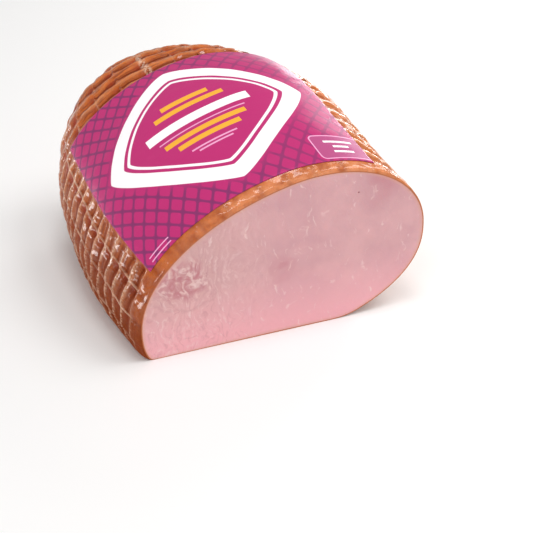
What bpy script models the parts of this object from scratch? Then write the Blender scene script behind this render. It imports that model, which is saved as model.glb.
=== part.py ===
# Half of a netted, smoked ham with a printed film label laid over its top.
# The flat cut face looks along -Y and the rounded far end along +Y.
import bpy
import numpy as np

# Driving sizes, in metres
DEPTH = 0.218
CENTRE_HEIGHT = 0.0434
LEFT_REACH = 0.1074
RIGHT_REACH = 0.0922
TOP_REACH = 0.0683
BOTTOM_REACH = 0.0529
TOP_LEFT_POWER = 2.1
TOP_RIGHT_POWER = 1.9
BOTTOM_POWER = 2.5
SIDE_TILT = 0.22
BASE_ROUNDING = 0.003

# The rind swells out from the cut edge, then the body swells and closes with depth
EDGE_DEPTH = 0.008
EDGE_LEFT = 0.003
EDGE_RIGHT = 0.0005
EDGE_TOP = 0.0045
LEFT_SWELL = {"gain": 0.0188, "peak": 0.118, "power": 3.5}
RIGHT_SWELL = {"gain": -0.0108, "peak": 0.077, "power": 2.8}
TOP_SWELL = {"gain": 0.0232, "peak": 0.130, "power": 3.1}
BOTTOM_POWER_BACK = 3.0
BACK_SHIFT = -0.043
BACK_HEIGHT = 0.104

# Net marks in the rind: hoops round the body and strings along it, with sunk cells between
HOOP_PITCH = 0.0127
STRING_COUNT = 26
STRING_OFFSET = -0.4
STRING_SHARE = 0.6
CELL_SINK = 0.0016
RELIEF_START = 0.009
RELIEF_FLOOR = 0.006

# Label, laid on the smooth patch of the top
LABEL_LEFT = 0.324
LABEL_WIDTH = 0.173
LABEL_BOW = 0.008
LABEL_START = 0.006
LABEL_END = 0.158
LABEL_MARGIN = 0.004
LABEL_GAP = 0.00035
LABEL_THICKNESS = 0.0004

STRING_STEPS = 4
EDGE_STEPS = 4
LABEL_STEPS_ROUND = 32
LABEL_STEPS_ALONG = 24


def smooth_step(value):
    """Ease from 0 to 1 with flat ends."""
    t = np.clip(value, 0, 1)
    return t * t * (3 - 2 * t)


def swollen_reach(reach, edge, swell, y):
    """Reach from the section centre at depth y: rounded edge, swelling, then closing."""
    rounding = np.sqrt(1 - (1 - min(y / EDGE_DEPTH, 1)) ** 2)
    growth = 1 - (1 - min(y / swell["peak"], 1)) ** 2
    return reach + edge * rounding + swell["gain"] * growth


def closing(peak, power, y):
    """Factor that runs from 1 at the widest depth to 0 at the far end, as a superellipse."""
    past = np.clip((y - peak) / (DEPTH - peak), 0, 1)
    return (1 - past ** power) ** (1 / power)


def soft_floor(height):
    """Flatten what falls below the floor, through a small rounding."""
    blend = (height + BASE_ROUNDING) ** 2 / (4 * BASE_ROUNDING)
    lifted = np.where(height > BASE_ROUNDING, height, blend)
    return np.where(height < -BASE_ROUNDING, 0, lifted)


def section(y, count=720):
    """Outline of the body at depth y, from the bottom centre up the left side and round."""
    left = swollen_reach(LEFT_REACH, EDGE_LEFT, LEFT_SWELL, y)
    right = swollen_reach(RIGHT_REACH, EDGE_RIGHT, RIGHT_SWELL, y)
    top = swollen_reach(TOP_REACH, EDGE_TOP, TOP_SWELL, y)
    x_left = BACK_SHIFT - (left + BACK_SHIFT) * closing(LEFT_SWELL["peak"], LEFT_SWELL["power"], y)
    x_right = BACK_SHIFT + (right - BACK_SHIFT) * closing(RIGHT_SWELL["peak"], RIGHT_SWELL["power"], y)
    z_top = BACK_HEIGHT + (CENTRE_HEIGHT + top - BACK_HEIGHT) * closing(
        TOP_SWELL["peak"], TOP_SWELL["power"], y)
    z_bottom = BACK_HEIGHT + (CENTRE_HEIGHT - BOTTOM_REACH - BACK_HEIGHT) * closing(
        TOP_SWELL["peak"], BOTTOM_POWER_BACK, y)
    x_centre = x_left + (x_right - x_left) * LEFT_REACH / (LEFT_REACH + RIGHT_REACH)
    z_centre = z_bottom + (z_top - z_bottom) * BOTTOM_REACH / (BOTTOM_REACH + TOP_REACH)

    angle = -np.pi / 2 - np.linspace(0, 2 * np.pi, count, endpoint=False)
    across, up = np.cos(angle), np.sin(angle)
    top_power = np.where(across > 0, TOP_RIGHT_POWER, TOP_LEFT_POWER)
    power = np.where(up > 0, top_power, BOTTOM_POWER)
    radius = (np.abs(across) ** power + np.abs(up) ** power) ** (-1 / power)
    x_offset = np.where(across > 0, x_right - x_centre, x_centre - x_left) * radius * across
    z_offset = np.where(up > 0, z_top - z_centre, z_centre - z_bottom) * radius * up
    tilt = SIDE_TILT * (1 - (y / DEPTH) ** 3) * x_offset
    return x_centre + x_offset, soft_floor(z_centre + z_offset + tilt)


def perimeter(y):
    """Distance once round the body at depth y."""
    x, z = section(y)
    return np.hypot(np.diff(x, append=x[0]), np.diff(z, append=z[0])).sum()


def ring(y, shares):
    """Points at the given shares of the way round the section at depth y."""
    x, z = section(y)
    x = np.append(x, x[0])
    z = np.append(z, z[0])
    run = np.concatenate(([0], np.cumsum(np.hypot(np.diff(x), np.diff(z)))))
    at = np.asarray(shares) % 1.0 * run[-1]
    return np.column_stack((np.interp(at, run, x), np.full(len(at), y), np.interp(at, run, z)))


def crown_depths(spacing):
    """Depths whose rings lie evenly spaced along the crown, from the edge to the far end."""
    y = DEPTH * np.sin(np.linspace(0, np.pi / 2, 2000))
    crown = np.array([section(depth, 90)[1].max() for depth in y])
    run = np.concatenate(([0], np.cumsum(np.hypot(np.diff(y), np.diff(crown)))))
    start = np.interp(EDGE_DEPTH, y, run)
    wanted = np.arange(start + spacing, run[-1] - 0.6 * spacing, spacing)
    return np.interp(wanted, run, y), wanted - start


def outward(points, closed):
    """Unit normals of a grid of points whose rows are rings."""
    if closed:
        around = np.roll(points, -1, axis=1) - np.roll(points, 1, axis=1)
    else:
        around = np.gradient(points, axis=1)
    normal = np.cross(around, np.gradient(points, axis=0))
    return normal / np.maximum(np.linalg.norm(normal, axis=2, keepdims=True), 1e-9)


def label_width(y):
    """Width of the label round the body at depth y; it bows out a little halfway along."""
    along = np.clip((y - LABEL_START) / (LABEL_END - LABEL_START), 0, 1)
    return LABEL_WIDTH + LABEL_BOW * np.sin(np.pi * along)


def ham_rings():
    """Rings of the rind, with the relief that the net pressed into it."""
    columns = STRING_COUNT * STRING_STEPS
    shares = (np.arange(columns) / STRING_STEPS + STRING_OFFSET) / STRING_COUNT % 1
    edge_depths = EDGE_DEPTH * (1 - np.cos(np.linspace(0, np.pi / 2, EDGE_STEPS + 1)))
    body_depths, run = crown_depths(HOOP_PITCH / 2)
    depths = np.concatenate((edge_depths, body_depths))
    points = np.array([ring(y, shares) for y in depths])

    hoop = np.ones(len(depths))
    hoop[len(edge_depths):] = 0.5 + 0.5 * np.cos(2 * np.pi * run / HOOP_PITCH)
    string = np.where(np.arange(columns) % STRING_STEPS == 0, STRING_SHARE, 0)
    sunk = CELL_SINK * (1 - np.maximum(hoop[:, None], string[None, :]))

    shown = smooth_step((depths - RELIEF_START) / EDGE_DEPTH)[:, None] * np.ones(columns)
    shown[-2:] = 0
    shown = shown * smooth_step(points[:, :, 2] / RELIEF_FLOOR - 0.5)
    along = np.minimum(depths - LABEL_START, LABEL_END - depths)[:, None]
    girth = np.array([perimeter(y) for y in depths])[:, None]
    place = (shares[None, :] - LABEL_LEFT) * girth
    width = np.array([label_width(y) for y in depths])[:, None]
    across = np.minimum(place, width - place)
    clear = np.minimum(along, across) + LABEL_MARGIN
    shown = shown * (1 - smooth_step(clear / LABEL_MARGIN + 1))
    return points - outward(points, True) * (sunk * shown)[:, :, None]


def grid_faces(rows, columns, closed):
    """Quads between neighbouring rows of points."""
    last = columns if closed else columns - 1
    faces = []
    for row in range(rows - 1):
        for column in range(last):
            right = (column + 1) % columns
            a, b = row * columns + column, row * columns + right
            faces.append((a, b, b + columns, a + columns))
    return faces


def new_object(name, points, faces, collection, material):
    """Make a mesh object from points and faces and give it its material."""
    mesh = bpy.data.meshes.new(name)
    mesh.from_pydata([tuple(point) for point in points], [], faces)
    mesh.update()
    mesh.materials.append(material)
    mesh.shade_smooth()
    mesh.set_sharp_from_angle(angle=np.radians(40))
    made = bpy.data.objects.new(name, mesh)
    collection.objects.link(made)
    return made


def plain_material(name, colour, roughness):
    """Principled material with a plain colour."""
    material = bpy.data.materials.new(name)
    material.use_nodes = True
    shader = material.node_tree.nodes["Principled BSDF"]
    shader.inputs["Base Color"].default_value = (*colour, 1)
    shader.inputs["Roughness"].default_value = roughness
    shader.inputs["Metallic"].default_value = 0
    return material


def make_ham(collection):
    """One solid: cut face, rounded cut edge, netted rind, far end and flat base."""
    rings = ham_rings()
    rows, columns = rings.shape[:2]
    face_centre = rings[0].mean(axis=0)
    far_end = np.array([BACK_SHIFT, DEPTH, BACK_HEIGHT])
    points = np.concatenate((rings.reshape(-1, 3), [face_centre, far_end]))
    faces = grid_faces(rows, columns, True)
    front, back, last = rows * columns, rows * columns + 1, (rows - 1) * columns
    for column in range(columns):
        right = (column + 1) % columns
        faces.append((front, right, column))
        faces.append((back, last + column, last + right))
    rind = plain_material("Smoked rind", (0.42, 0.14, 0.05), 0.35)
    return new_object("ham", points, faces, collection, rind)


def make_label(collection):
    """Thin film wrapped over the crown, clear of the rind by a small gap."""
    depths = np.linspace(LABEL_START, LABEL_END, LABEL_STEPS_ALONG + 1)
    across = np.linspace(0, 1, LABEL_STEPS_ROUND + 1)
    points = np.array([
        ring(y, LABEL_LEFT + across * label_width(y) / perimeter(y)) for y in depths])
    points = points + outward(points, False) * LABEL_GAP
    faces = grid_faces(len(depths), len(across), False)
    film = plain_material("Printed film", (0.60, 0.04, 0.20), 0.3)
    label = new_object("label", points.reshape(-1, 3), faces, collection, film)
    solidify = label.modifiers.new("Film thickness", "SOLIDIFY")
    solidify.thickness = LABEL_THICKNESS
    solidify.offset = 1
    return label


def main():
    """Clear the scene, build both pieces and centre them over the origin."""
    for old in list(bpy.data.objects):
        bpy.data.objects.remove(old)
    collection = bpy.data.collections.new("Half ham")
    bpy.context.scene.collection.children.link(collection)
    ham = make_ham(collection)
    label = make_label(collection)
    corners = np.array([vertex.co for vertex in ham.data.vertices])
    middle = (corners.min(axis=0) + corners.max(axis=0)) / 2
    for piece in (ham, label):
        piece.location = (-middle[0], -middle[1], 0)


main()
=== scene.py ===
import bpy
import numpy as np
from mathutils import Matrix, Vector


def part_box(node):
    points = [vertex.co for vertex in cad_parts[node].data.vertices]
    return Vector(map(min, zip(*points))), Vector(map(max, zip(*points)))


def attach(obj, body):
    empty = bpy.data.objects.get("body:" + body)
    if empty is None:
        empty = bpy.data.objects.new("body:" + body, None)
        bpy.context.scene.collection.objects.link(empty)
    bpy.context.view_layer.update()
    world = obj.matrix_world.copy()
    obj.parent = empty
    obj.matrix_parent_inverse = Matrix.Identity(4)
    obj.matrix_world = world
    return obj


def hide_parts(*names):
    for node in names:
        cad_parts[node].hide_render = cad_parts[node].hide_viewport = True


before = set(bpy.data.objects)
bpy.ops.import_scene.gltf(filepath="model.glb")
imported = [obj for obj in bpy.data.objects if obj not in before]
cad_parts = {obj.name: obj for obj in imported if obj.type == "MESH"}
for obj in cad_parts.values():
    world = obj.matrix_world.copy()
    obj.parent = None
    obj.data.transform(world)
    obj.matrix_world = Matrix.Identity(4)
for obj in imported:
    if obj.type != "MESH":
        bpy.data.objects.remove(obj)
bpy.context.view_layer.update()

hamLow, hamHigh = [np.array(corner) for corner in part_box("ham")]
print("frame loaded")


# sRGB hex to linear red, green, blue and alpha
def toLinear(hexColour):
    parts = [int(hexColour[i:i + 2], 16) / 255 for i in (1, 3, 5)]
    linear = [c / 12.92 if c <= 0.04045 else ((c + 0.055) / 1.055) ** 2.4 for c in parts]
    return (*linear, 1.0)


# adds one node, sets its settings and its inputs, and links the inputs that are sockets
def addNode(tree, kind, inputs=None, **settings):
    node = tree.nodes.new(kind)
    for name, value in settings.items():
        setattr(node, name, value)
    for key, value in (inputs or {}).items():
        if isinstance(value, bpy.types.NodeSocket):
            tree.links.new(value, node.inputs[key])
        else:
            node.inputs[key].default_value = value
    return node


# starts a material with its shader and returns the material, the tree and the shader
def newMaterial(name, **numbers):
    material = bpy.data.materials.new(name)
    material.use_nodes = True
    tree = material.node_tree
    shader = tree.nodes["Principled BSDF"]
    for key, value in numbers.items():
        shader.inputs[key].default_value = value
    return material, tree, shader


# masks from rows of name, source, low, high and most: 0 at low, up to most at high
def rangeMasks(tree, rows):
    return {name: addNode(tree, "ShaderNodeMapRange", {
        "Value": source, "From Min": low, "From Max": high, "To Max": most}).outputs[0]
        for name, source, low, high, most in rows}


# reworks the masks from rows of name, first, second and an operation, if not a product
def combineMasks(tree, mask, rows):
    for name, first, second, *how in rows:
        mask[name] = addNode(tree, "ShaderNodeMath", {0: mask[first], 1: mask[second]},
                             operation=how[0] if how else "MULTIPLY").outputs[0]


# lays each colour over the ones before it, by its mask
def layerColours(tree, looks, start, mask, layers):
    colour = toLinear(looks[start])
    for name, amount in layers:
        colour = addNode(tree, "ShaderNodeMix", {
            0: mask[amount], 6: colour, 7: toLinear(looks[name])},
            data_type="RGBA").outputs[2]
    return colour


# 0 below 0, 1 above 1, eased between
def ease(value):
    t = np.clip(value, 0, 1)
    return t * t * (3 - 2 * t)


# soft noise between about -1 and 1: a sum of sine waves of about the given wavelength
def softNoise(points, wavelength, seed, waves=14):
    rng = np.random.default_rng(seed)
    total = np.zeros(points.shape[:-1])
    for _ in range(waves):
        heading = rng.normal(size=points.shape[-1])
        heading /= np.linalg.norm(heading)
        rate = 2 * np.pi / (wavelength * rng.uniform(0.75, 1.6))
        total += np.sin(points @ heading * rate + rng.uniform(0, 2 * np.pi))
    return total / np.sqrt(waves)


# The body of the ham in metres. Its section is a superellipse whose left, right, top and
# bottom reaches swell with depth and close as superellipses at the far end
body = {
    "depth": 0.218,
    "centreHeight": 0.0434,
    "reach": {"left": 0.1074, "right": 0.0922, "top": 0.0683, "bottom": 0.0529},
    "power": {"topLeft": 2.1, "topRight": 1.9, "bottom": 2.5},
    "tilt": 0.22,
    "baseRounding": 0.003,
    "edgeDepth": 0.008,
    "left": {"edge": 0.003, "gain": 0.0188, "peak": 0.118, "close": 3.5},
    "right": {"edge": 0.0005, "gain": -0.0108, "peak": 0.077, "close": 2.8},
    "top": {"edge": 0.0045, "gain": 0.0232, "peak": 0.130, "close": 3.1},
    "bottomClose": 3.0,
    "backShift": -0.043,
    "backHeight": 0.104,
}

# The net that pressed the rind: hoops go round the body, strings run along it
net = {
    "hoopPitch": 0.0127,
    "hoopWander": (0.07, 0.05),     # in pitches, over 45 mm and over 20 mm
    "hoopHalfWidth": 0.0027,
    "crownHoop": 0.0012,     # how much wider hoops are high up
    "crownFrom": 0.080,      # the height at which they start to widen
    "stringCount": 26,
    "stringOffset": 0.433,   # where the first string starts, in string pitches
    "stringLean": 3.0,       # strings climbed per metre of depth
    "stringWander": 0.03,    # in pitches
    "stringHalfWidth": 0.0010,
    "stringShare": 0.76,     # height of a string against a hoop
    "pulled": (0.49, 0.04, 0.22),   # where strings are pulled aside, its reach, how far
    "beadHalfWidth": 0.0028,    # a hoop swells between strings and dips to each of them
    "cellSink": 0.0026,      # depth of the cells between hoops and strings
    "uneven": 0.3,           # share by which that depth comes and goes
    "pocketSink": 0.0010,    # and how much deeper a pocket goes
    "pocketDrop": 0.0042,    # how far under a string its pocket lies
    "pocketReach": 0.0032,
    "crownShare": 0.485,     # where on the way round the two sides meet
    "markStart": 0.006,      # depth behind the cut face at which the marks begin
    "floorFade": 0.006,      # height over which the marks fade out towards the base
    "lumps": 0.0005,         # slow lumps of the whole body
    "tieDepth": 0.005,       # how far the far end is drawn in
    "tieReach": 0.011,
    "folds": 21,             # folds round the tie
    "foldShare": 0.35,       # how much they add to it and take from it
    "flankEase": 0.35,       # how much weaker the marks are on the left flank
    "edgeNotch": 0.0009,     # depth of the notch that each string cuts into the edge
    "notchEnd": 0.014,       # depth behind the cut face at which the notches end
    "smallLumps": 0.00028,
    "tightString": 12,       # the one that creases the crown
}

# The printed film on the crown, placed by its left edge's share of the way round
film = {
    "left": 0.324,
    "width": 0.173,
    "bow": 0.008,
    "start": 0.006,
    "end": 0.158,
    "margin": 0.004,
    "gap": 0.00012,
    "hoopLift": 0.00012,     # how far a hoop lifts the film
    "thickness": 0.0002,
    "across": 176,
    "along": 150,
}

hamGrid = {"columns": 470, "edgeRows": 12, "bodyRows": 172, "faceRings": 22}


# reach at depth y: rounded at the cut edge, then a parabola that swells to its peak
def reachAt(y, side):
    part = body[side]
    rounding = np.sqrt(1 - (1 - np.minimum(y / body["edgeDepth"], 1)) ** 2)
    growth = 1 - (1 - np.minimum(y / part["peak"], 1)) ** 2
    return body["reach"][side] + part["edge"] * rounding + part["gain"] * growth


# superellipse from 1 at the widest depth to 0 at the far end
def closingAt(y, peak, power):
    past = np.clip((y - peak) / (body["depth"] - peak), 0, 1)
    return (1 - past ** power) ** (1 / power)


# outlines of the body at the depths y, each from the bottom centre up the left side and
# round: superellipses of the reaches, sheared by the tilt and cut flat at the floor
def outlinesAt(y, count=720):
    y = np.asarray(y, float)[:, None]
    shift, height = body["backShift"], body["backHeight"]
    leftClose = closingAt(y, body["left"]["peak"], body["left"]["close"])
    rightClose = closingAt(y, body["right"]["peak"], body["right"]["close"])
    topClose = closingAt(y, body["top"]["peak"], body["top"]["close"])
    bottomClose = closingAt(y, body["top"]["peak"], body["bottomClose"])
    xLeft = shift - (reachAt(y, "left") + shift) * leftClose
    xRight = shift + (reachAt(y, "right") - shift) * rightClose
    reach, power = body["reach"], body["power"]
    zTop = height + (body["centreHeight"] + reachAt(y, "top") - height) * topClose
    zBottom = height + (body["centreHeight"] - reach["bottom"] - height) * bottomClose
    leftShare = reach["left"] / (reach["left"] + reach["right"])
    xCentre = xLeft + (xRight - xLeft) * leftShare
    upShare = reach["bottom"] / (reach["bottom"] + reach["top"])
    zCentre = zBottom + (zTop - zBottom) * upShare
    angle = -np.pi / 2 - np.linspace(0, 2 * np.pi, count, endpoint=False)
    across, up = np.cos(angle), np.sin(angle)
    topPower = np.where(across > 0, power["topRight"], power["topLeft"])
    bend = np.where(up > 0, topPower, power["bottom"])
    radius = (np.abs(across) ** bend + np.abs(up) ** bend) ** (-1 / bend)
    x = np.where(across > 0, xRight - xCentre, xCentre - xLeft) * radius * across
    z = np.where(up > 0, zTop - zCentre, zCentre - zBottom) * radius * up
    z = zCentre + z + body["tilt"] * (1 - (y / body["depth"]) ** 3) * x
    soft = body["baseRounding"]
    blend = (z + soft) ** 2 / (4 * soft)
    z = np.where(z > soft, z, np.where(z < -soft, 0, blend))  # flat base with a soft edge
    return xCentre + x, z


# points at the given shares of the way round each section, evenly by distance, found in
# one look-up over all sections; also each section's girth
def ringsAt(y, shares):
    y = np.asarray(y, float)
    x, z = outlinesAt(y)
    x = np.concatenate((x, x[:, :1]), axis=1)
    z = np.concatenate((z, z[:, :1]), axis=1)
    steps = np.hypot(np.diff(x, axis=1), np.diff(z, axis=1))
    run = np.concatenate((np.zeros((len(y), 1)), np.cumsum(steps, axis=1)), axis=1)
    girth = run[:, -1:]
    row = np.arange(len(y))[:, None]
    known = (row + run / np.maximum(girth, 1e-9) * 0.999999).ravel()
    wanted = row + shares % 1.0 * 0.999999
    return np.stack((
        np.interp(wanted, known, x.ravel()),
        np.broadcast_to(y[:, None], wanted.shape),
        np.interp(wanted, known, z.ravel())), axis=-1), girth


# unit normals of a grid whose rows are rings: the step round crossed with the step along
def normalsOf(points, closed):
    if closed:
        around = np.roll(points, -1, axis=1) - np.roll(points, 1, axis=1)
    else:
        around = np.gradient(points, axis=1)
    normal = np.cross(around, np.gradient(points, axis=0))
    return normal / np.maximum(np.linalg.norm(normal, axis=2, keepdims=True), 1e-12)


# distance along the crown from the rounded edge, for a dense row of depths
def crownRun():
    y = body["depth"] * np.sin(np.linspace(0, np.pi / 2, 1500))
    crown = outlinesAt(y, 120)[1].max(axis=1)
    run = np.concatenate(([0], np.cumsum(np.hypot(np.diff(y), np.diff(crown)))))
    return y, run - np.interp(body["edgeDepth"], y, run)


# moves the body from its own section axis to where the solid stands in the frame
def placeShift():
    right = outlinesAt(np.linspace(0, body["depth"], 200))[0].max()
    return np.array([hamHigh[0] - right, hamLow[1], 0])


# width of the film round the body: it bows out as half a sine wave along its length
def filmWidth(y):
    along = np.clip((y - film["start"]) / (film["end"] - film["start"]), 0, 1)
    return film["width"] + film["bow"] * np.sin(np.pi * along)


# 1 under the film, fading to 0 over the margin outside its edges
def underFilm(share, y, girth):
    place = (share - film["left"]) * girth
    across = np.minimum(place, filmWidth(y) - place)
    along = np.minimum(y - film["start"], film["end"] - y)
    return ease(np.minimum(across, along) / film["margin"] + 1)


# slow lumps of the whole body, shared by the ham and the film that lies on it
def lumpsAt(points):
    return net["lumps"] * (softNoise(points, 0.055, 3) - 1)


# hoops passed by each point of a whole grid: by distance along the crown up to a depth
# of 165 mm, or 85 mm on the right, then shared out down each column, so that all of them
# close round the far end
def hoopsPassed(points, share, run, farEnd):
    steps = np.linalg.norm(np.diff(points, axis=0), axis=2)
    own = np.concatenate((np.zeros((1, points.shape[1])), np.cumsum(steps, axis=0)))
    own = own - own[-1:] - np.linalg.norm(points[-1] - farEnd, axis=1)
    start = 0.165 - 0.08 * ease((share[0] - 0.58) / 0.08) * ease((1 - share[0]) / 0.08)
    first = np.argmax(points[..., 1] > start, axis=0)
    known = run[first, 0]
    left = (crownRun()[1][-1] - known) / net["hoopPitch"]
    covered = 1 - own / own[first, np.arange(len(first))]
    shared = known / net["hoopPitch"] + left * covered
    blend = ease((points[..., 1] - start) / 0.05)
    return run / net["hoopPitch"] * (1 - blend) + shared * blend


# relief of the net: cells sink between raised hoops and strings, deepest just under a
# string; also gives which string and which hoop each point lies at, counted in pitches
def netRelief(points, share, passed, girth):
    slow, quick = net["hoopWander"]
    wander = slow * softNoise(points, 0.045, 11)
    hoopAt = passed + wander + quick * softNoise(points, 0.02, 12)
    hoopOff = (hoopAt - np.round(hoopAt)) * net["hoopPitch"]
    high = ease((points[..., 2] - net["crownFrom"]) / 0.035)
    hoop = np.exp(-(hoopOff / (net["hoopHalfWidth"] + net["crownHoop"] * high)) ** 2)
    depth = points[..., 1]
    stringAt = share * net["stringCount"] + net["stringOffset"]
    stringAt = stringAt - net["stringLean"] * depth
    middle, reach, pull = net["pulled"]
    stringAt = stringAt - pull * np.exp(-((share - middle) / reach) ** 2)
    stringAt = stringAt + net["stringWander"] * softNoise(points, 0.06, 13)
    pitch = girth / net["stringCount"]
    stringOff = (stringAt - np.round(stringAt)) * pitch
    string = np.exp(-(stringOff / net["stringHalfWidth"]) ** 2)
    dip = (1 - net["stringShare"]) * np.exp(-(stringOff / net["beadHalfWidth"]) ** 2)
    downwards = np.where(share < net["crownShare"], -1, 1)
    under = (stringOff * downwards) % pitch
    pocket = np.exp(-((under - net["pocketDrop"]) / net["pocketReach"]) ** 2) * (1 - hoop)
    strength = 1 + net["uneven"] * softNoise(points, 0.03, 14)
    # the left flank, between 50 and 115 mm up, is pressed less
    across, up = points[..., 0], points[..., 2]
    flank = ease((up - 0.050) / 0.030) * ease((0.115 - up) / 0.020)
    flank = flank * ease(-across / 0.050)
    strength = strength * (1 - net["flankEase"] * flank)
    raised = np.maximum(hoop * (1 - dip), net["stringShare"] * string)
    sink = net["cellSink"] * (1 - raised) * strength
    sink = sink + net["pocketSink"] * pocket * strength
    return sink, pocket, hoop, stringAt, hoopAt


# puts points and quads into a mesh object in one go
def meshFrom(name, points, faces, materials):
    mesh = bpy.data.meshes.new(name)
    mesh.from_pydata(points.tolist(), [], faces)
    mesh.update()
    for material in materials:
        mesh.materials.append(material)
    mesh.shade_smooth()
    piece = bpy.data.objects.new(name, mesh)
    bpy.context.scene.collection.objects.link(piece)
    return piece


# gives every point of a mesh one number under a name that a material can read
def addAttribute(piece, name, values):
    attribute = piece.data.attributes.new(name, "FLOAT", "POINT")
    attribute.data.foreach_set("value", np.ascontiguousarray(values, dtype=np.float32))


# quads between neighbouring rows of a grid, as whole arrays
def gridQuads(rows, columns, closed, first=0):
    row = np.arange(rows - 1)[:, None] * columns
    column = np.arange(columns if closed else columns - 1)[None, :]
    a = first + row + column
    b = first + row + (column + 1) % columns
    return np.stack((a, b, b + columns, a + columns), axis=-1).reshape(-1, 4)


# columns lie closer where the rind shows and wider apart on the base
def columnShares(count):
    dense = np.linspace(0, 1, 2001)
    weight = 0.18 + 0.82 * ease((dense - 0.10) / 0.04) * ease((0.88 - dense) / 0.04)
    crown = ease((dense - 0.34) / 0.03) * ease((0.62 - dense) / 0.03)
    weight = weight * (1 - 0.35 * crown)
    filled = np.concatenate(([0], np.cumsum((weight[1:] + weight[:-1]) / 2)))
    return np.interp(np.arange(count) / count, filled / filled[-1], dense)


# The ham: rings of rind pressed in by the net's relief along their normals, a cut face of
# rings that shrink to its middle, and a fan that closes the far end
def buildHam():
    denseY, denseRun = crownRun()
    turn = np.linspace(0, np.pi / 2, hamGrid["edgeRows"] + 1)
    edgeY = body["edgeDepth"] * (1 - np.cos(turn))
    wanted = np.linspace(0, denseRun[-1], hamGrid["bodyRows"] + 2)[1:-1]
    y = np.concatenate((edgeY, np.interp(wanted, denseRun, denseY)))
    run = np.interp(y, denseY, denseRun)[:, None]
    share = columnShares(hamGrid["columns"])
    share = np.broadcast_to(share, (len(y), len(share)))
    base, girth = ringsAt(y, share)
    normal = normalsOf(base, True)
    farEnd = np.array([body["backShift"], body["depth"], body["backHeight"]])
    passed = hoopsPassed(base, share, run, farEnd)
    sink, pocket, _, stringAt, hoopAt = netRelief(base, share, passed, girth)
    fromEnd = np.linalg.norm(base - farEnd, axis=2)
    # the marks begin behind the cut edge and fade out by the far end, base and film
    shown = ease((y[:, None] - net["markStart"]) / 0.007) * ease(fromEnd / 0.010 - 0.5)
    shown = shown * ease(base[..., 2] / net["floorFade"] - 0.4)
    clear = 1 - underFilm(share, y[:, None], girth)
    shown = shown * clear
    offFloor = ease(base[..., 2] / net["floorFade"]) * ease(y[:, None] / 0.004)
    # the far end is drawn in where the net was tied, with folds that run to the tie
    turned = share * 2 * np.pi * net["folds"] + 2 * softNoise(base, 0.03, 21)
    folds = 1 + net["foldShare"] * np.sin(turned)
    drawn = net["tieDepth"] * np.exp(-(fromEnd / net["tieReach"]) ** 2) * folds
    # the cut edge is notched at each string, and small lumps cover the bare rind
    bare = clear * ease(base[..., 2] / net["floorFade"])
    offString = (stringAt - np.round(stringAt)) * girth / net["stringCount"]
    notch = net["edgeNotch"] * np.exp(-(offString / net["beadHalfWidth"]) ** 2)
    notch = notch * bare * ease(y[:, None] / 0.004)
    notch = notch * ease((net["notchEnd"] - y[:, None]) / 0.005)
    small = net["smallLumps"] * softNoise(base, 0.010, 15)
    small = small * bare * ease(y[:, None] / 0.003)
    relief = lumpsAt(base) * offFloor + small - sink * shown - drawn - notch
    rind = base + normal * relief[..., None]

    # the cut face: rings drawn in from the outline to its middle, closest by the outline
    outline = rind[0]
    middle = outline.mean(axis=0)
    steps = np.linspace(0, 1, hamGrid["faceRings"] + 1)[1:-1]
    scale = (1 - steps ** 1.4)[:, None, None]
    face = middle + (outline - middle) * scale
    inward = (1 - scale[..., 0]) * np.linalg.norm(outline - middle, axis=1)
    tied = farEnd - (0, net["tieDepth"], 0)

    rows, columns = rind.shape[:2]
    faceFirst = rows * columns
    middleIndex = faceFirst + len(face) * columns
    here = np.arange(columns)
    after = (here + 1) % columns
    rindQuads = gridQuads(rows, columns, True)
    faceQuads = gridQuads(len(face), columns, True, faceFirst)[:, ::-1]
    rimQuads = np.stack((after, here, faceFirst + here, faceFirst + after), axis=-1)
    innerRing = faceFirst + (len(face) - 1) * columns
    lastRing = (rows - 1) * columns
    tip = np.full(columns, middleIndex)
    middleFan = np.stack((innerRing + after, innerRing + here, tip), -1)
    farFan = np.stack((lastRing + here, lastRing + after, tip + 1), -1)
    faces = []
    for group in (rindQuads, faceQuads, rimQuads, middleFan, farFan):
        faces += group.tolist()
    points = np.concatenate((rind.reshape(-1, 3), face.reshape(-1, 3), [middle, tied]))
    points += placeShift()
    piece = meshFrom("hamBody", points, faces, [rindMaterial(), meatMaterial()])
    meatFaces = np.zeros(len(faces), dtype=np.int32)
    meatFaces[len(rindQuads):len(faces) - columns] = 1
    piece.data.polygons.foreach_set("material_index", meatFaces)
    piece.data.set_sharp_from_angle(angle=np.radians(50))

    # what the materials read: how much a pocket and the net's marks show, both nothing on
    # the cut face, and how far in from the rim a point lies, 90 mm in the face's middle
    blank = np.zeros(face.shape[0] * columns + 2)
    addAttribute(piece, "pocket", np.concatenate(((pocket * shown).ravel(), blank)))
    addAttribute(piece, "shown", np.concatenate((shown.ravel(), blank)))
    depthIn = np.concatenate((np.zeros(rind[..., 0].size), inward.ravel(), [0.09, 0]))
    addAttribute(piece, "fromRim", depthIn)

    # the net's own map, whose last column of faces runs on past the first string
    onNet = np.stack((stringAt, hoopAt), axis=-1).reshape(-1, 2)[rindQuads]
    onNet[columns - 1::columns, 1:3, 0] += net["stringCount"]
    uv = np.zeros((len(piece.data.loops), 2), dtype=np.float32)
    uv[:rindQuads.size] = onNet.reshape(-1, 2)
    piece.data.uv_layers.new(name="net").data.foreach_set("uv", uv.ravel())
    return piece


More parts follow.
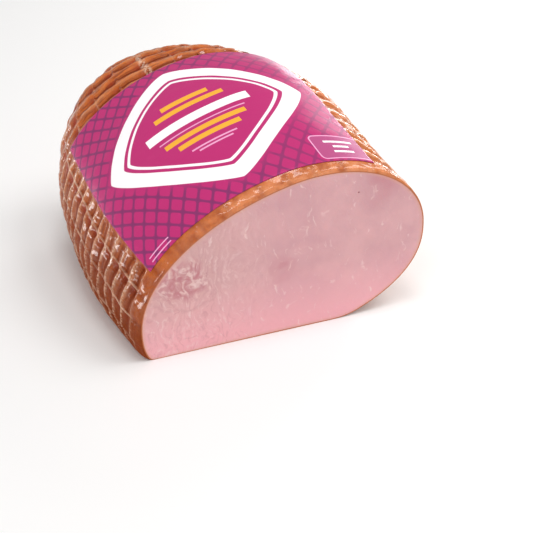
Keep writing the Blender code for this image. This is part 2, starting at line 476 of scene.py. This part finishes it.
# The film: a sheet laid along the crown, lifted over the rind by its gap, the slow lumps
# and the hoops below it
def buildFilm():
    y = np.linspace(film["start"], film["end"], film["along"] + 1)
    u = np.linspace(0, 1, film["across"] + 1)
    girth = ringsAt(y, np.zeros((len(y), 1)))[1]
    share = film["left"] + u[None, :] * filmWidth(y)[:, None] / girth
    base, girth = ringsAt(y, share)
    normal = normalsOf(base, False)
    denseY, denseRun = crownRun()
    run = np.interp(y, denseY, denseRun)[:, None]
    hoop = netRelief(base, share, run / net["hoopPitch"], girth)[2]
    lift = lumpsAt(base) * ease(y[:, None] / 0.004)
    lift = lift + film["gap"] + film["hoopLift"] * hoop
    points = base + normal * lift[..., None]
    points += placeShift()
    rows, columns = points.shape[:2]
    points = points.reshape(-1, 3)
    quads = gridQuads(rows, columns, False)
    piece = meshFrom("printedFilm", points, quads.tolist(), [filmMaterial()])
    v = np.linspace(0, 1, rows)
    uv = np.stack(np.broadcast_arrays(u[None, :], v[:, None]), axis=-1).reshape(-1, 2)
    layer = piece.data.uv_layers.new(name="print")
    layer.data.foreach_set("uv", uv[quads.ravel()].ravel().astype(np.float32))
    wall = piece.modifiers.new("Film thickness", "SOLIDIFY")
    wall.thickness = film["thickness"]
    wall.offset = 1
    return piece


# colours of the rind, from the crown down, and of the marks that the net left
rindLooks = {
    # 762C0F is the colour of dark streaks and dirt, and also painted shade in the cells
    # and cracks
    "brown": "#AF5828", "orange": "#CC6A28", "darkStreakAndShade": "#762C0F", "tan": "#DE9A6A",
    # 78300C is painted shade, darker towards the base
    # E08A44 is painted light on the right side
    # F0A070 is the rim's own amber and partly a painted highlight along the band
    "low": "#78300C", "smoke": "#963F1A", "rightSideLight": "#E08A44", "amberAndHighlight": "#F0A070",
    # 9C3219 is painted shade in the pockets under the strings
    "pocket": "#9C3219", "line": "#F3CBAE",
    "paleLine": 0.8,          # how much of the pale colour a net line shows
    "lumpDepth": 0.0006, "streakDepth": 0.0007, "creaseDepth": 0.0007,
    "threadDepth": 0.0003, "poreDepth": 0.00042, "beadDepth": 0.0007,
}


# Smoked pork rind, cooked in an elastic net and basted by its own juices: a wet gloss
# that breaks into small dabs, orange brown skin, pale lines where the net kept the smoke
# off and dark red pockets between them. The pockets, cells, cracks and base are darkened
# by painted shade; the right side has painted light and the band by the cut a partly
# painted highlight
def rindMaterial():
    looks = rindLooks
    material, tree, shader = newMaterial("Smoked pork rind", **{
        "Specular IOR Level": 0.14, "Coat Roughness": 0.09,
        "Subsurface Weight": 0.06, "Subsurface Scale": 0.003})
    place = addNode(tree, "ShaderNodeTexCoord").outputs["Object"]
    netMap = addNode(tree, "ShaderNodeUVMap", uv_map="net").outputs["UV"]
    noise = {}
    for name, source, scale, detail in (
            ("blotch", place, (38, 38, 38), 4),      # patches of about 26 mm
            ("grain", place, (420, 420, 420), 4),    # wrinkles of about 2.4 mm
            ("pore", place, (720, 720, 720), 1),     # crumples of about 1.4 mm
            ("lump", place, (120, 120, 120), 2),     # lumps of about 8 mm
            ("streak", netMap, (1.2, 7, 1), 3),      # 17 mm along a hoop, 1.8 mm across
            ("crease", netMap, (12, 4.2, 1), 3)):    # folds 1.7 mm apart along a hoop
        sized = addNode(tree, "ShaderNodeMapping", {
            "Vector": source, "Scale": scale}).outputs[0]
        noise[name] = addNode(tree, "ShaderNodeTexNoise", {
            "Vector": sized, "Scale": 1, "Detail": detail}).outputs["Fac"]
    where = addNode(tree, "ShaderNodeSeparateXYZ", {"Vector": place}).outputs
    shown, pocket = [
        addNode(tree, "ShaderNodeAttribute", attribute_name=name).outputs["Fac"]
        for name in ("shown", "pocket")]
    onNet = addNode(tree, "ShaderNodeSeparateXYZ", {"Vector": netMap}).outputs
    stringAt, hoopAt = onNet[:2]
    off = []  # how far off the nearest string and hoop, in pitches, made a little wavy
    for at, reach in ((stringAt, 0.03), (hoopAt, 0.12)):
        wavy = addNode(tree, "ShaderNodeMath", {0: noise["grain"], 1: reach, 2: at},
                       operation="MULTIPLY_ADD").outputs[0]
        wavy = addNode(tree, "ShaderNodeMath", {0: wavy, 1: reach / 2},
                       operation="SUBTRACT").outputs[0]
        off.append(addNode(tree, "ShaderNodeMath", {0: wavy, 1: 0.5},
                           operation="PINGPONG").outputs[0])

    mask = rangeMasks(tree, (
        ("string", off[0], 0.055, 0.018, 0.62),
        ("hoop", off[1], 0.150, 0.030, 0.6),
        ("stringHere", noise["blotch"], 0.42, 0.60, 1),
        ("crest", off[1], 0.44, 0.24, 1),
        # painted shade: a dark line midway between two hoops
        ("crackShade", off[1], 0.38, 0.49, 0.9),
        ("wetEdge", where["Y"], -0.1020, -0.1060, 1),
        ("ridge", off[1], 0.26, 0.05, 1),
        ("warm", noise["blotch"], 0.36, 0.64, 1),
        ("crown", where["Z"], 0.085, 0.118, 1),
        ("right", where["X"], 0.0, 0.05, 1),
        # painted shade: darker towards the base, where less light falls
        ("low", where["Z"], 0.075, 0.020, 0.85),
        ("streak", noise["streak"], 0.46, 0.64, 0.7),
        ("dirt", noise["grain"], 0.54, 0.70, 0.30),
        ("broken", noise["crease"], 0.38, 0.60, 1),
        # the rim's peach amber by the cut, more of it higher up: partly its own colour,
        # partly a painted highlight
        ("edge", where["Y"], -0.1015, -0.1065, 1),
        ("band", where["Y"], -0.0965, -0.1005, 1),
        ("bead", off[0], 0.02, 0.34, 1),
        ("notch", off[0], 0.15, 0.03, 0.75),
        # smoke blotches on the band; the notches at the strings are added to them as
        # painted shade
        ("smokeAndNotchShade", noise["lump"], 0.60, 0.38, 0.6),
        ("patchy", noise["blotch"], 0.40, 0.60, 1),
        # painted shade: the cells between the hoops are darkened
        ("cellShade", off[1], 0.22, 0.42, 0.65),
        ("bandHigh", where["Z"], 0.070, 0.130, 0.75),
        ("onCrown", where["Z"], 0.090, 0.118, 0.75),
        ("nearString", off[0], 0.16, 0.06, 0.8),
        ("wrinkled", noise["grain"], 0.44, 0.54, 1),
        ("lump", noise["lump"], 0.30, 0.60, 1),
        # painted light: a lighter orange over the right side
        ("rightSideLight", where["X"], 0.050, 0.075, 0.3),
        ("flankLow", where["Z"], 0.050, 0.080, 1),
        ("flankHigh", where["Z"], 0.115, 0.095, 1),
        ("left", where["X"], 0.0, -0.05, 0.6),
        ("offCrown", where["Z"], 0.118, 0.085, 1),
        ("wetHere", noise["grain"], 0.38, 0.48, 1),
        ("dull", where["Z"], 0.075, 0.025, 1),
        ("wetHigh", where["Z"], 0.018, 0.050, 1),
        ("knot", off[0], 0.13, 0.03, 1)))
    mask["tight"] = addNode(tree, "ShaderNodeMath", {
        0: stringAt, 1: net["tightString"], 2: 0.35}, operation="COMPARE").outputs[0]
    mask["stringSeen"] = addNode(tree, "ShaderNodeMapRange", {
        "Value": mask["stringHere"], "To Min": 0.4, "To Max": 1.0}).outputs[0]
    combineMasks(tree, mask, (
        ("orange", "crown", "right", "MAXIMUM"), ("bandWarm", "band", "warm"),
        ("orange", "orange", "bandWarm", "MAXIMUM"),
        ("hoop", "hoop", "offCrown"), ("hoop", "hoop", "broken"),
        ("flank", "flankLow", "flankHigh"), ("flank", "flank", "left"),
        ("crackShade", "crackShade", "flank", "SUBTRACT"), ("cellShade", "cellShade", "flank", "SUBTRACT"),
        ("tight", "tight", "crown"), ("tight", "tight", "nearString"),
        ("tight", "tight", "wrinkled"),
        ("stringSeen", "stringSeen", "onCrown", "SUBTRACT"),
        ("string", "string", "stringSeen"), ("net", "string", "hoop", "MAXIMUM"),
        ("crest", "crest", "wetEdge", "MAXIMUM"), ("wetHere", "wetHere", "crest"),
        ("rightCrest", "right", "crest"), ("rightCrest", "rightCrest", "wrinkled"),
        ("wetHere", "wetHere", "rightCrest", "MAXIMUM"),
        ("net", "net", "tight", "MAXIMUM"), ("wetHere", "wetHere", "tight", "MAXIMUM"),
        ("wetBand", "band", "lump"), ("wetBand", "wetBand", "bandHigh"),
        ("wetBand", "wetBand", "notch", "SUBTRACT"),
        ("wetHere", "wetHere", "wetBand", "MAXIMUM"),
        ("tan", "ridge", "warm"), ("edge", "edge", "lump"), ("edge", "edge", "bandHigh"),
        # painted shade: the notch at each string takes the smoke colour
        ("bead", "bead", "band"), ("smokeAndNotchShade", "smokeAndNotchShade", "notch", "MAXIMUM"),
        ("smokeAndNotchShade", "smokeAndNotchShade", "band"), ("knot", "knot", "ridge")))
    # painted shade: the pockets under the strings are darkened
    mask["pocket"] = pocket
    for name, most in (
            ("net", looks["paleLine"]), ("tan", 0.6), ("cellShade", 1), ("knot", 1),
            ("crackShade", 1), ("streak", 1), ("dirt", 1), ("pocket", 0.9)):
        part = addNode(tree, "ShaderNodeMath", {0: mask[name], 1: most},
                       operation="MULTIPLY").outputs[0]
        mask[name] = addNode(tree, "ShaderNodeMath", {0: part, 1: shown},
                             operation="MULTIPLY").outputs[0]
    skin = layerColours(tree, looks, "brown", mask, (
        ("orange", "orange"), ("darkStreakAndShade", "streak"), ("darkStreakAndShade", "dirt"),
        ("darkStreakAndShade", "cellShade"), ("smoke", "smokeAndNotchShade"), ("tan", "tan"), ("pocket", "pocket"),
        ("darkStreakAndShade", "crackShade"), ("low", "low"), ("rightSideLight", "rightSideLight"), ("amberAndHighlight", "edge"),
        ("line", "net")))
    tree.links.new(skin, shader.inputs["Base Color"])
    gloss = addNode(tree, "ShaderNodeMapRange", {
        "Value": mask["dull"], "To Min": 0.40, "To Max": 0.75}).outputs[0]
    tree.links.new(gloss, shader.inputs["Roughness"])
    wet = addNode(tree, "ShaderNodeMath", {0: mask["wetHere"], 1: mask["wetHigh"]},
                  operation="MULTIPLY").outputs[0]
    tree.links.new(wet, shader.inputs["Coat Weight"])
    folds = addNode(tree, "ShaderNodeMath", {
        0: noise["crease"], 1: noise["grain"]}, operation="ADD").outputs[0]
    deep = addNode(tree, "ShaderNodeMath", {0: mask["patchy"], 1: mask["knot"]},
                   operation="MAXIMUM").outputs[0]
    deep = addNode(tree, "ShaderNodeMapRange", {
        "Value": deep, "To Min": 0.15, "To Max": 1.0}).outputs[0]
    bumped = addNode(tree, "ShaderNodeNewGeometry").outputs["Normal"]
    crumpled = addNode(tree, "ShaderNodeMapRange", {
        "Value": mask["wetHere"], "To Min": 0.35, "To Max": 1.0}).outputs[0]
    for height, strength, depth in (
            (noise["lump"], 1, "lumpDepth"), (mask["bead"], 1, "beadDepth"),
            (noise["streak"], 1, "streakDepth"), (folds, deep, "creaseDepth"),
            (mask["net"], 1, "threadDepth"), (noise["pore"], crumpled, "poreDepth")):
        bumped = addNode(tree, "ShaderNodeBump", {
            "Height": height, "Strength": strength, "Distance": looks[depth],
            "Normal": bumped}).outputs[0]
    tree.links.new(bumped, shader.inputs["Normal"])
    return material


# colours of the cut face and where its muscles differ, as places on it in metres
meatLooks = {
    # F2AFB7 is painted reflected light, pinker towards the bottom
    "pink": "#DDA9AC", "mauve": "#D09CA2", "paintedBounce": "#F2AFB7", "grey": "#D5AAA5",
    "rose": "#B95F6E", "deep": "#C67F88", "fat": "#F3D8D4", "seam": "#BE8187",
    "speck": "#7A3A40", "rim": "#B4622F", "tan": "#DDA489",
    "rosePatch": (-0.057, -0.109, 0.057),
    "swirl": (0.010, -0.109, 0.051),
    "topPatch": (0.083, -0.109, 0.101),
    "warp": 0.028,            # twice the most that the patterns are pushed aside
    "swirlRate": 900,         # its rings lie 2 pi over this apart, 7 mm
    "seamScale": 30,          # muscles of about 33 mm between seams
    "speckScale": 75,         # one speck in each 13 mm
}


# Cooked cured pork, sliced across the grain: pale pink, close and slightly moist, with
# fibres and seams between muscles, a rose patch, and a thin smoked rim; it is painted
# pinker towards the bottom, standing in for light reflected from below
def meatMaterial():
    looks = meatLooks
    material, tree, shader = newMaterial("Cured pork meat", **{
        "Specular IOR Level": 0.45, "Subsurface Weight": 0.12, "Subsurface Scale": 0.005})
    place = addNode(tree, "ShaderNodeTexCoord").outputs["Object"]
    drift = addNode(tree, "ShaderNodeTexNoise", {
        "Vector": place, "Scale": 45, "Detail": 3}).outputs["Color"]
    drift = addNode(tree, "ShaderNodeVectorMath", {0: drift, 1: (0.5, 0.5, 0.5)},
                    operation="SUBTRACT").outputs[0]
    drift = addNode(tree, "ShaderNodeVectorMath", {0: drift, "Scale": looks["warp"]},
                    operation="SCALE").outputs[0]
    bent = addNode(tree, "ShaderNodeVectorMath", {0: place, 1: drift},
                   operation="ADD").outputs[0]  # in practice by up to about 10 mm
    noise = {}
    for name, source, turn, scale, detail in (
            ("muscle", bent, 0, (26, 26, 26), 3),          # bundles of about 40 mm
            ("cloud", place, 0, (85, 85, 85), 4),          # mottling of about 12 mm
            ("fibre", bent, 0.45, (520, 520, 55), 3),      # fibres 2 mm wide, 18 mm long
            ("flake", bent, -0.9, (300, 300, 70), 2),      # pale flakes, 3 by 14 mm
            ("knot", bent, 0.3, (260, 260, 150), 3),       # knotted muscle, 4 to 7 mm
            ("grain", place, 0, (900, 900, 900), 3)):      # grain of about a millimetre
        sized = addNode(tree, "ShaderNodeMapping", {
            "Vector": source, "Rotation": (0, turn, 0), "Scale": scale}).outputs[0]
        noise[name] = addNode(tree, "ShaderNodeTexNoise", {
            "Vector": sized, "Scale": 1, "Detail": detail}).outputs["Fac"]
    where = addNode(tree, "ShaderNodeSeparateXYZ", {"Vector": place}).outputs
    seams = addNode(tree, "ShaderNodeTexVoronoi", {
        "Vector": bent, "Scale": looks["seamScale"]},
        feature="DISTANCE_TO_EDGE").outputs["Distance"]
    specks = addNode(tree, "ShaderNodeTexVoronoi", {
        "Vector": place, "Scale": looks["speckScale"]})
    fromRim = addNode(tree, "ShaderNodeAttribute",
                      attribute_name="fromRim").outputs["Fac"]
    reach = {}
    for name in ("rosePatch", "swirl", "topPatch"):
        reach[name] = addNode(tree, "ShaderNodeVectorMath", {0: bent, 1: looks[name]},
                              operation="DISTANCE").outputs["Value"]
    curl = addNode(tree, "ShaderNodeMath", {0: reach["swirl"], 1: looks["swirlRate"]},
                   operation="MULTIPLY").outputs[0]
    curl = addNode(tree, "ShaderNodeMath", {0: curl}, operation="SINE").outputs[0]

    mask = rangeMasks(tree, (
        ("mauve", noise["muscle"], 0.40, 0.62, 0.8),
        ("mottle", noise["cloud"], 0.45, 0.70, 0.55),
        ("leftHalf", where["X"], 0.01, -0.04, 1),
        ("grey", where["X"], 0.01, -0.06, 0.7),
        # painted reflected light: pinker towards the bottom of the face
        ("paintedBounce", where["Z"], 0.050, 0.008, 0.85),
        ("darkFibre", noise["fibre"], 0.52, 0.72, 0.35),
        ("paleFibre", noise["fibre"], 0.44, 0.30, 0.4),
        ("flake", noise["flake"], 0.63, 0.74, 0.5),
        ("seam", seams, 0.020, 0.004, 0.5),
        ("seamHere", noise["cloud"], 0.52, 0.64, 1),
        ("roseNear", reach["rosePatch"], 0.018, 0.012, 1),
        ("roseSpot", noise["knot"], 0.40, 0.62, 0.62),
        ("roseRing", noise["knot"], 0.48, 0.34, 0.45),
        ("arcOut", reach["rosePatch"], 0.0268, 0.0248, 1),
        ("arcIn", reach["rosePatch"], 0.0226, 0.0246, 0.28),
        ("arcLow", where["Z"], 0.052, 0.044, 1),
        ("swirlNear", reach["swirl"], 0.013, 0.001, 0.50),
        ("curl", curl, -4.0, 0.9, 1),
        ("top", reach["topPatch"], 0.016, 0.004, 0.55),
        ("speckSize", specks.outputs["Distance"], 0.055, 0.035, 0.8),
        ("speckHere", where["X"], 0.035, 0.06, 1),
        ("tan", fromRim, 0.0032, 0.0008, 0.55),
        ("rim", fromRim, 0.0011, 0.0005, 1)))
    combineMasks(tree, mask, (
        ("darkFibre", "darkFibre", "leftHalf"), ("paleFibre", "paleFibre", "leftHalf"),
        ("seam", "seam", "seamHere"), ("seam", "seam", "leftHalf"),
        ("rose", "roseNear", "roseSpot"), ("roseRing", "roseNear", "roseRing"),
        ("arc", "arcOut", "arcIn"), ("arc", "arc", "arcLow"),
        ("swirl", "swirlNear", "curl"), ("speck", "speckSize", "speckHere")))
    meat = layerColours(tree, looks, "pink", mask, (
        ("mauve", "mauve"), ("mauve", "mottle"), ("grey", "grey"), ("paintedBounce", "paintedBounce"),
        ("seam", "darkFibre"), ("fat", "paleFibre"), ("fat", "flake"), ("seam", "seam"),
        ("fat", "roseRing"), ("rose", "rose"), ("seam", "arc"), ("deep", "swirl"),
        ("deep", "top"), ("speck", "speck"), ("tan", "tan"), ("rim", "rim")))
    tree.links.new(meat, shader.inputs["Base Color"])
    gloss = addNode(tree, "ShaderNodeMapRange", {
        "Value": noise["grain"], "From Min": 0.3, "From Max": 0.7, "To Min": 0.30,
        "To Max": 0.55}).outputs[0]
    tree.links.new(gloss, shader.inputs["Roughness"])
    fibres = addNode(tree, "ShaderNodeBump", {
        "Height": noise["fibre"], "Strength": 0.35, "Distance": 0.0010}).outputs[0]
    grain = addNode(tree, "ShaderNodeBump", {
        "Height": noise["grain"], "Strength": 0.3, "Distance": 0.0004,
        "Normal": fibres}).outputs[0]
    tree.links.new(grain, shader.inputs["Normal"])
    return material


# the print, in millimetres from the film's left and front edges
printLooks = {
    "field": "#BE3172", "net": "#7A3466", "white": "#FFFBFC", "yellow": "#F5B23C",
    "pale": "#F0A8CE", "box": "#B85284",
    "size": (173, 152),
    "netPitch": (12.2, 14.8),
    "netStart": 5.2,          # from the front edge to the first crossing of its lines
    "netLine": 0.30,          # width of a line, as a sine
    "centre": (88, 76),
    "lozenge": (72, 66),
    "lozengePower": 1.3,      # 1 for straight sides, 2 for an ellipse
    "frame": 0.82,            # inner edge of the thick frame, as a share of the lozenge
    "fine": (0.74, 0.775),    # the thin frame inside it
    "bars": (                 # colour, middle across and along, half sizes
        ("white", 88, 79, 37, 4.2), ("yellow", 88, 93, 25, 2.4),
        ("yellow", 88, 101, 17, 2.4), ("yellow", 88, 64, 29, 2.4),
        ("yellow", 88, 56, 22, 2.4), ("pale", 88, 48, 16, 0.7),
        ("pale", 88, 45, 12, 0.7), ("pale", 88, 70, 31, 0.6),
        ("pale", 15.3, 2.7, 9.5, 0.45), ("pale", 15.3, 6.0, 9.5, 0.45),
        ("white", 157, 18.2, 10, 0.9), ("white", 157, 13.6, 5.5, 0.9),
        ("white", 157, 9.0, 7, 0.9)),
    "boxCentre": (159, 13.2),
    "boxHalf": (20, 10.7),
    "boxRadius": 3.0,
    "boxLine": 0.45,
}


# Printed polythene film: satin magenta with a purple diamond net, a white lozenge with
# plain bars in it and a small pale box; the satin takes broad soft reflections, and the
# net is painted fainter towards the right as painted sheen and blur
def filmMaterial():
    looks = printLooks
    material, tree, shader = newMaterial("Printed polythene film", **{
        "Roughness": 0.30, "Specular IOR Level": 0.15, "Coat Weight": 0.05,
        "Coat Roughness": 0.3})
    printMap = addNode(tree, "ShaderNodeUVMap", uv_map="print").outputs["UV"]
    place = addNode(tree, "ShaderNodeTexCoord").outputs["Object"]
    onFilm = addNode(tree, "ShaderNodeVectorMath", {0: printMap, 1: (*looks["size"], 0)},
                     operation="MULTIPLY").outputs[0]
    across, along = addNode(tree, "ShaderNodeSeparateXYZ", {"Vector": onFilm}).outputs[:2]

    # the net: two families of slanted lines, where the smaller of their sines is small
    netU, netV = looks["netPitch"]
    turns = addNode(tree, "ShaderNodeMapping", {
        "Vector": onFilm, "Location": (0, -looks["netStart"] / netV, 0),
        "Scale": (1 / netU, 1 / netV, 1)}).outputs[0]
    turnsU, turnsV = addNode(tree, "ShaderNodeSeparateXYZ", {"Vector": turns}).outputs[:2]
    waves = []
    for operation in ("ADD", "SUBTRACT"):
        slant = addNode(tree, "ShaderNodeMath", {0: turnsU, 1: turnsV},
                        operation=operation).outputs[0]
        slant = addNode(tree, "ShaderNodeMath", {0: slant, 1: np.pi},
                        operation="MULTIPLY").outputs[0]
        slant = addNode(tree, "ShaderNodeMath", {0: slant}, operation="SINE").outputs[0]
        waves.append(addNode(tree, "ShaderNodeMath", {0: slant},
                             operation="ABSOLUTE").outputs[0])
    cells = addNode(tree, "ShaderNodeMath", {0: waves[0], 1: waves[1], 2: 0.8},
                    operation="SMOOTH_MIN").outputs[0]

    # the lozenge: how far out a point lies, as a share of the lozenge's own outline
    fromMiddle = addNode(tree, "ShaderNodeVectorMath", {
        0: onFilm, 1: (*looks["centre"], 0)}, operation="SUBTRACT").outputs[0]
    fromMiddle = addNode(tree, "ShaderNodeVectorMath", {
        0: fromMiddle, 1: (*looks["lozenge"], 1)}, operation="DIVIDE").outputs[0]
    fromMiddle = addNode(tree, "ShaderNodeVectorMath", {0: fromMiddle},
                         operation="ABSOLUTE").outputs[0]
    shares = addNode(tree, "ShaderNodeSeparateXYZ", {"Vector": fromMiddle}).outputs
    power = looks["lozengePower"]
    powers = [addNode(tree, "ShaderNodeMath", {0: part, 1: power},
                      operation="POWER").outputs[0] for part in shares[:2]]
    outness = addNode(tree, "ShaderNodeMath", {0: powers[0], 1: powers[1]},
                      operation="ADD").outputs[0]
    outness = addNode(tree, "ShaderNodeMath", {0: outness, 1: 1 / power},
                      operation="POWER").outputs[0]

    # the box: distance from its rounded outline
    fromBox = addNode(tree, "ShaderNodeVectorMath", {
        0: onFilm, 1: (*looks["boxCentre"], 0)}, operation="SUBTRACT").outputs[0]
    fromBox = addNode(tree, "ShaderNodeVectorMath", {0: fromBox},
                      operation="ABSOLUTE").outputs[0]
    inner = [half - looks["boxRadius"] for half in looks["boxHalf"]]
    fromBox = addNode(tree, "ShaderNodeVectorMath", {0: fromBox, 1: (*inner, 0)},
                      operation="SUBTRACT").outputs[0]
    fromBox = addNode(tree, "ShaderNodeVectorMath", {0: fromBox, 1: (0, 0, 0)},
                      operation="MAXIMUM").outputs[0]
    fromBox = addNode(tree, "ShaderNodeVectorMath", {0: fromBox},
                      operation="LENGTH").outputs["Value"]

    line, radius = looks["boxLine"], looks["boxRadius"]
    thick, (fineIn, fineOut) = looks["frame"], looks["fine"]
    mask = rangeMasks(tree, (
        ("net", cells, looks["netLine"] + 0.05, looks["netLine"] - 0.05, 1),
        ("netHere", outness, 0.98, 1.10, 0.95),
        # painted sheen and blur: the net fades towards the right
        ("netSheenFade", across, 150, 80, 1),
        ("netKnot", cells, 0.16, -0.12, 1),
        ("outer", outness, 1.003, 0.997, 1),
        ("notInner", outness, thick - 0.003, thick + 0.003, 1),
        ("fineOuter", outness, fineOut + 0.003, fineOut - 0.003, 1),
        ("fineInner", outness, fineIn - 0.003, fineIn + 0.003, 1),
        ("box", fromBox, radius + line, radius + line - 0.1, 1),
        ("boxFill", fromBox, radius - line, radius - line - 0.1, 1)))
    for name, least in (("netSheenFade", 0.6), ("netKnot", 0.82)):
        mask[name] = addNode(tree, "ShaderNodeMapRange", {
            "Value": mask[name], "To Min": least, "To Max": 1.0}).outputs[0]
    combineMasks(tree, mask, (
        ("net", "net", "netHere"), ("net", "net", "netSheenFade"), ("net", "net", "netKnot"),
        ("frame", "outer", "notInner"), ("fine", "fineOuter", "fineInner")))
    layers = [("net", "net"), ("white", "frame"), ("white", "fine"), ("pale", "box"),
              ("box", "boxFill")]
    for number, (colour, middleU, middleV, halfU, halfV) in enumerate(looks["bars"]):
        sides = [addNode(tree, "ShaderNodeMath", {0: at, 1: middle, 2: half},
                         operation="COMPARE").outputs[0]
                 for at, middle, half in (
                     (across, middleU, halfU), (along, middleV, halfV))]
        mask[number] = addNode(tree, "ShaderNodeMath", {0: sides[0], 1: sides[1]},
                               operation="MULTIPLY").outputs[0]
        layers.append((colour, number))
    ink = layerColours(tree, looks, "field", mask, layers)
    tree.links.new(ink, shader.inputs["Base Color"])
    ripple = addNode(tree, "ShaderNodeTexNoise", {  # ripples of about 11 mm
        "Vector": place, "Scale": 90, "Detail": 3}).outputs["Fac"]
    rippled = addNode(tree, "ShaderNodeBump", {
        "Height": ripple, "Strength": 0.15, "Distance": 0.002}).outputs[0]
    tree.links.new(rippled, shader.inputs["Normal"])
    return material


# Studio: a pale floor, soft boxes and the camera at the photograph's angle
studio = {
    "floorHalf": 3.0,
    "floorColour": "#FAF9F8",
    "worldColour": "#FFFFFF",
    "worldStrength": 0.46,
    "boxes": (                # name, place, width and height, power in watts
        ("keyBox", (0.70, -0.22, 1.10), (0.60, 0.60), 6.0),
        ("topBox", (0.06, -0.20, 1.30), (0.40, 0.40), 3.6),
        ("backRightBox", (1.15, 0.93, 0.72), (0.70, 0.60), 5.4),
        ("backRightStrip", (0.85, 1.00, 0.12), (0.60, 0.08), 3.0),
        ("leftStrip", (-1.22, -0.24, 0.055), (1.05, 0.09), 3.5),
        ("backLeftStrip", (-0.95, 0.82, 0.04), (0.50, 0.05), 0.9),
        ("frontLeftBox", (-1.00, -0.85, 0.30), (0.15, 0.15), 1.5),
        ("frontBox", (0.85, -1.45, 0.50), (1.20, 1.20), 2.0),
        ("bandStrip", (-0.36, -0.62, 1.02), (0.50, 0.09), 1.1)),
    "aim": (0, 0, 0.06),
}

# The camera, as worked out from the photograph
view = {
    "place": (-0.21685, -0.83784, 0.5420),
    "turnDegrees": (57.27, 2.498, -18.09),
    "lensPixels": 1374.0,
    "framePixels": 533.0,
}


# the floor, the even light of the world, and the soft boxes, each turned to the aim
def buildStudio():
    half = studio["floorHalf"]
    corners = [(-half, -half, 0), (half, -half, 0), (half, half, 0), (-half, half, 0)]
    mesh = bpy.data.meshes.new("floor")
    mesh.from_pydata(corners, [], [(0, 1, 2, 3)])
    floor = bpy.data.objects.new("floor", mesh)
    bpy.context.scene.collection.objects.link(floor)
    paint, _, shader = newMaterial("Matt white studio paint", Roughness=0.8)
    shader.inputs["Base Color"].default_value = toLinear(studio["floorColour"])
    mesh.materials.append(paint)
    world = bpy.data.worlds.new("studio")
    world.use_nodes = True
    background = world.node_tree.nodes["Background"]
    background.inputs["Color"].default_value = toLinear(studio["worldColour"])
    background.inputs["Strength"].default_value = studio["worldStrength"]
    bpy.context.scene.world = world
    for name, place, size, power in studio["boxes"]:
        light = bpy.data.lights.new(name, "AREA")
        light.shape = "RECTANGLE"
        light.size, light.size_y = size
        light.energy = power
        lamp = bpy.data.objects.new(name, light)
        bpy.context.scene.collection.objects.link(lamp)
        lamp.location = place
        towards = Vector(studio["aim"]) - Vector(place)
        lamp.rotation_euler = towards.to_track_quat("-Z", "Y").to_euler()


# the lens is its focal length over the frame's width, both in pixels, times the sensor
def buildCamera():
    data = bpy.data.cameras.new("camera")
    data.sensor_width = 36
    data.lens = view["lensPixels"] / view["framePixels"] * data.sensor_width
    camera = bpy.data.objects.new("camera", data)
    bpy.context.scene.collection.objects.link(camera)
    camera.location = view["place"]
    camera.rotation_euler = np.radians(view["turnDegrees"])
    bpy.context.scene.camera = camera


bpy.context.scene.view_settings.view_transform = "Standard"
buildStudio()
buildCamera()
print("studio and camera ready")

hamBody = buildHam()
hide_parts("ham")
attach(hamBody, "root")
print("ham built,", len(hamBody.data.polygons), "faces")

printedFilm = buildFilm()
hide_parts("label")
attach(printedFilm, "root")
print("film built,", len(printedFilm.data.polygons), "faces")
